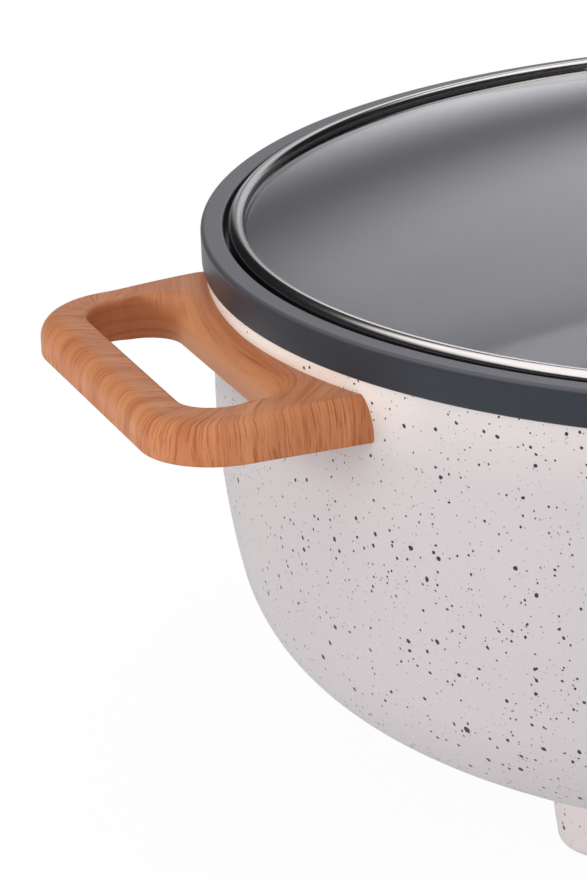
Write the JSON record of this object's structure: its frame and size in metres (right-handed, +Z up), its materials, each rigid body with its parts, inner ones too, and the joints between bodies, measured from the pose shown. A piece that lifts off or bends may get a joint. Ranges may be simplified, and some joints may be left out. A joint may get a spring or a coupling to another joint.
{
  "type": "electric skillet",
  "caption": "Round deep electric skillet with speckled housing, wood-look loop handles, lift-out coated pot, lift-off domed glass lid and a front heat dial.",
  "frame": {"origin": "on the counter, on the pot's vertical axis, at the centre of the three feet", "axes": "+Z up along the pot's axis, +X towards the right handle, -Y towards the control dial at the front"},
  "size_m": [0.41, 0.3722, 0.1942],
  "materials": {
    "speckled_housing": "semi-gloss off-white with dark speckles",
    "wood_look": "satin wood-grain finish",
    "coated_pot": "matte dark grey non-stick coating",
    "lid_glass": "clear toughened glass",
    "polished_steel": "polished stainless steel",
    "screw_steel": "zinc-plated steel",
    "rubber": "matte black rubber",
    "silicone": "dark grey silicone",
    "control_plastic": "fine matte dark grey",
    "pointer": "pale inlay",
    "lamp_lens": "clear amber-red plastic",
    "lamp": "neon lamp",
    "heater_aluminium": "cast aluminium",
    "heater_tube": "heat-darkened steel",
    "shield": "bright aluminised sheet",
    "insulator": "pale heat-proof insulator",
    "thermostat_body": "phenolic",
    "brass": "bare brass",
    "lead": "black silicone lead"
  },
  "bodies": {
    "base": {"outer_shell": "speckled_housing", "base_cover": "speckled_housing", "cover_screws": "screw_steel", "foot_front_left": "speckled_housing", "foot_front_right": "speckled_housing", "foot_back": "speckled_housing", "pad_front_left": "rubber", "pad_front_right": "rubber", "pad_back": "rubber", "foot_screws": "screw_steel", "left_handle": "wood_look", "right_handle": "wood_look", "handle_screws": "screw_steel", "control_pod": "control_plastic", "control_screws": "screw_steel", "thermostat": "thermostat_body", "control_nut": "screw_steel", "indicator_lens": "lamp_lens", "indicator_lamp": "lamp", "inlet_housing": "control_plastic", "inlet_pins": "brass", "inlet_screws": "screw_steel", "heating_plate": "heater_aluminium", "heating_element": "heater_tube", "heat_shield": "shield", "shield_screws": "screw_steel", "plate_spacers": "screw_steel", "plate_nuts": "screw_steel", "sensor_guide": "screw_steel", "sensor_spring": "screw_steel", "thermal_fuse": "insulator", "fuse_clip": "screw_steel", "terminal_block": "insulator", "terminal_screws": "brass", "inlet_lead_live": "lead", "inlet_lead_neutral": "lead", "control_lead": "lead", "heater_lead_front": "lead", "heater_lead_back": "lead"},
    "pot": {"inner_pot": "coated_pot"},
    "lid": {"lid_glass": "lid_glass", "lid_rim": "polished_steel", "lid_knob": "wood_look", "knob_collar": "polished_steel", "knob_screw": "screw_steel", "knob_washer": "silicone", "vent_grommet": "polished_steel"},
    "dial": {"dial_knob": "control_plastic", "dial_shaft": "screw_steel", "dial_pointer": "pointer"},
    "sensor": {"sensor_cap": "heater_aluminium"}
  },
  "joints": [
    {"name": "pot_lift", "type": "slide", "parent": "base", "child": "pot", "axis": [0, 0, 1], "range_m": [0, 0.16]},
    {"name": "lid_lift", "type": "slide", "parent": "pot", "child": "lid", "axis": [0, 0, 1], "range_m": [0, 0.12]},
    {"name": "dial_turn", "type": "hinge", "parent": "base", "child": "dial", "pos_m": [0, -0.18, 0.089], "axis": [0, 1, 0], "range_deg": [0, 270]},
    {"name": "sensor_press", "type": "slide", "parent": "base", "child": "sensor", "axis": [0, 0, 1], "range_m": [-0.003, 0], "stiffness_N_per_m": 600, "springref_m": 0.004, "deforming": ["sensor_spring"]}
  ]
}
